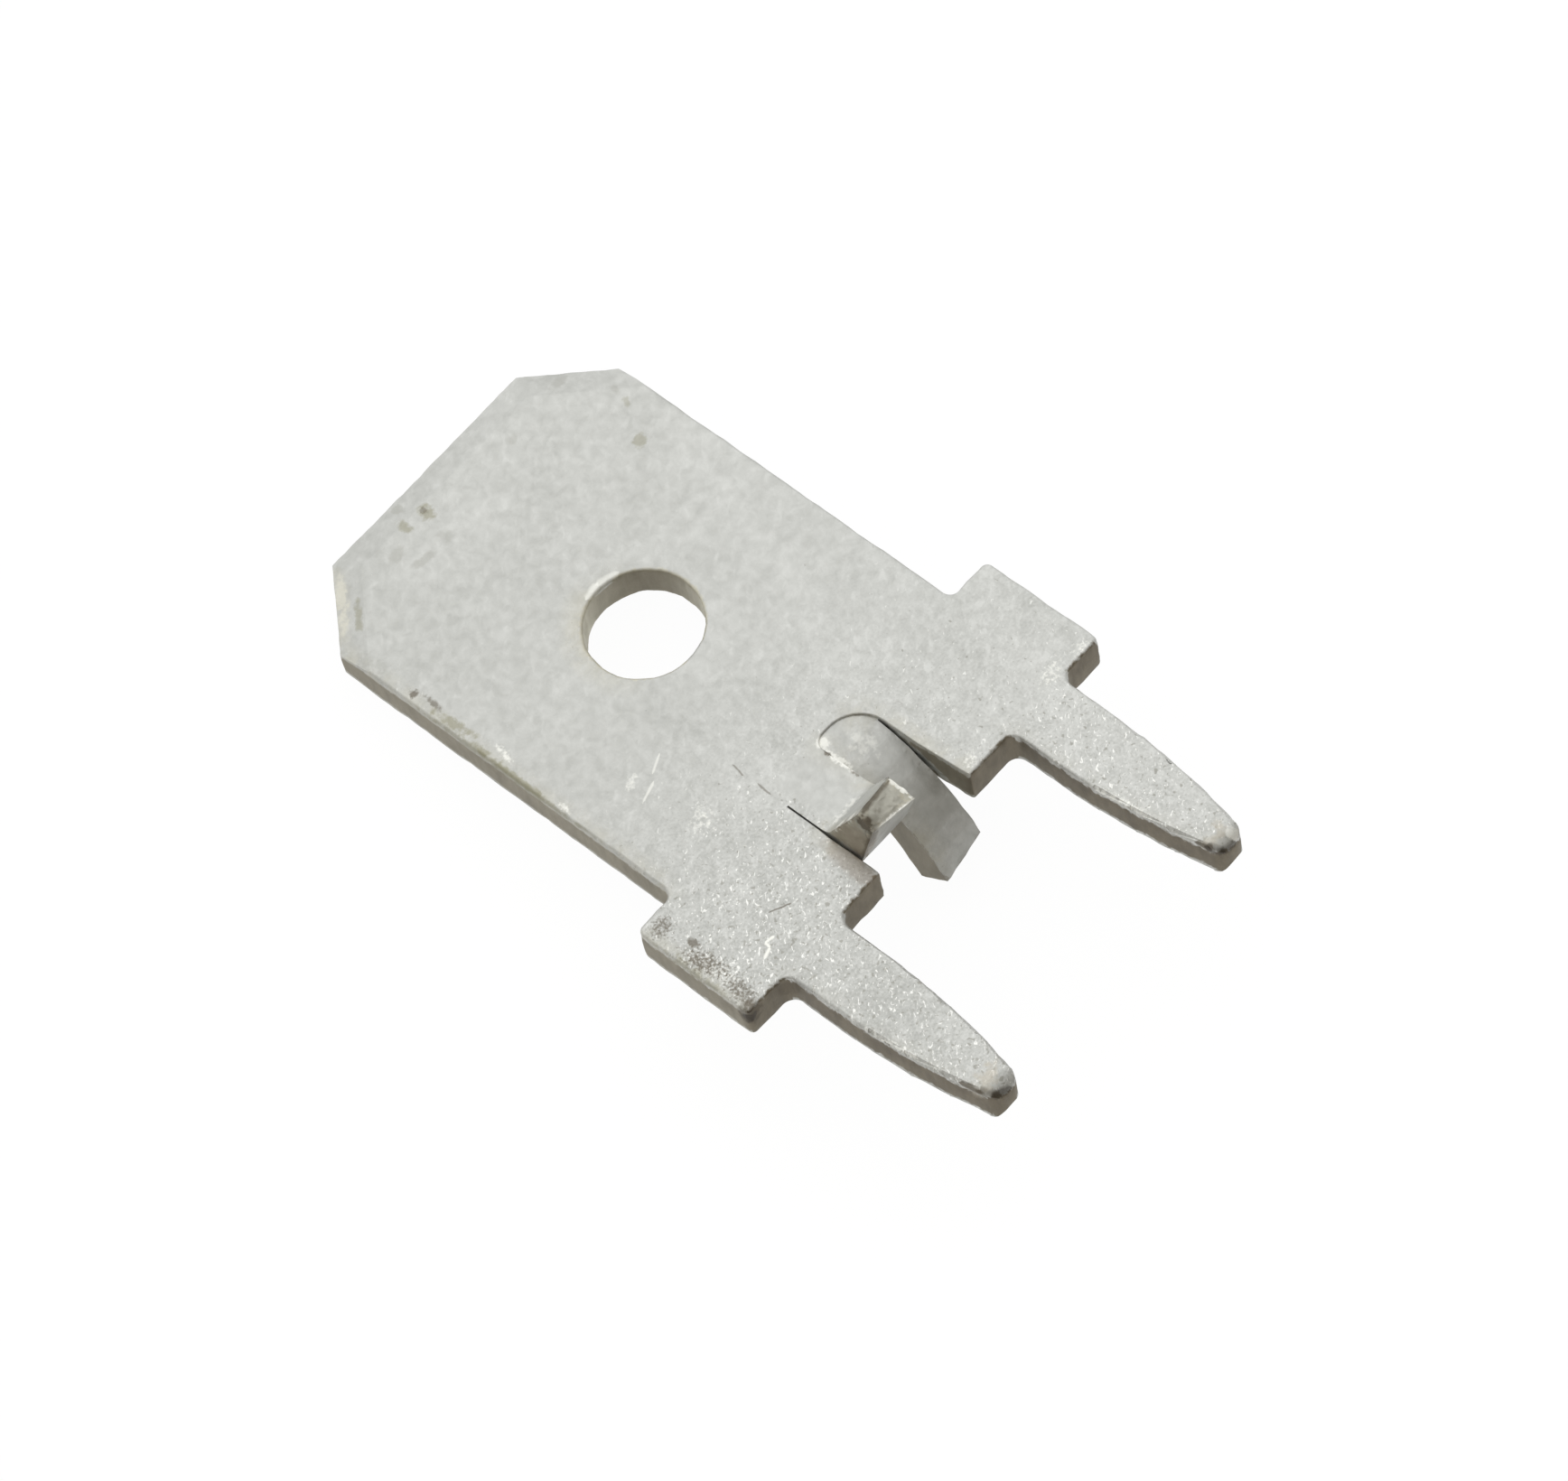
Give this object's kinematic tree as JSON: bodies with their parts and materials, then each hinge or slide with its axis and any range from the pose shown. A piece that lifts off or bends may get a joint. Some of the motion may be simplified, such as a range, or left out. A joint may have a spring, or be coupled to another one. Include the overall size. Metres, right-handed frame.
{
  "type": "male quick-connect tab",
  "caption": "Flat sheet-metal male blade terminal with a detent hole, shouldered feet, tapered solder pins and lanced tongues between the feet.",
  "frame": {"origin": "middle of the sheet, midway between the solder pins, on the line where the feet seat on the board", "axes": "+X across the tab, +Y along it towards the tip of the blade, +Z out of the front face of the sheet"},
  "size_m": [0.008, 0.014, 0.0033],
  "materials": {
    "tin_plate": "matt tin plating on brass sheet"
  },
  "bodies": {
    "root": {"quick_connect_tab": "tin_plate"}
  },
  "joints": []
}
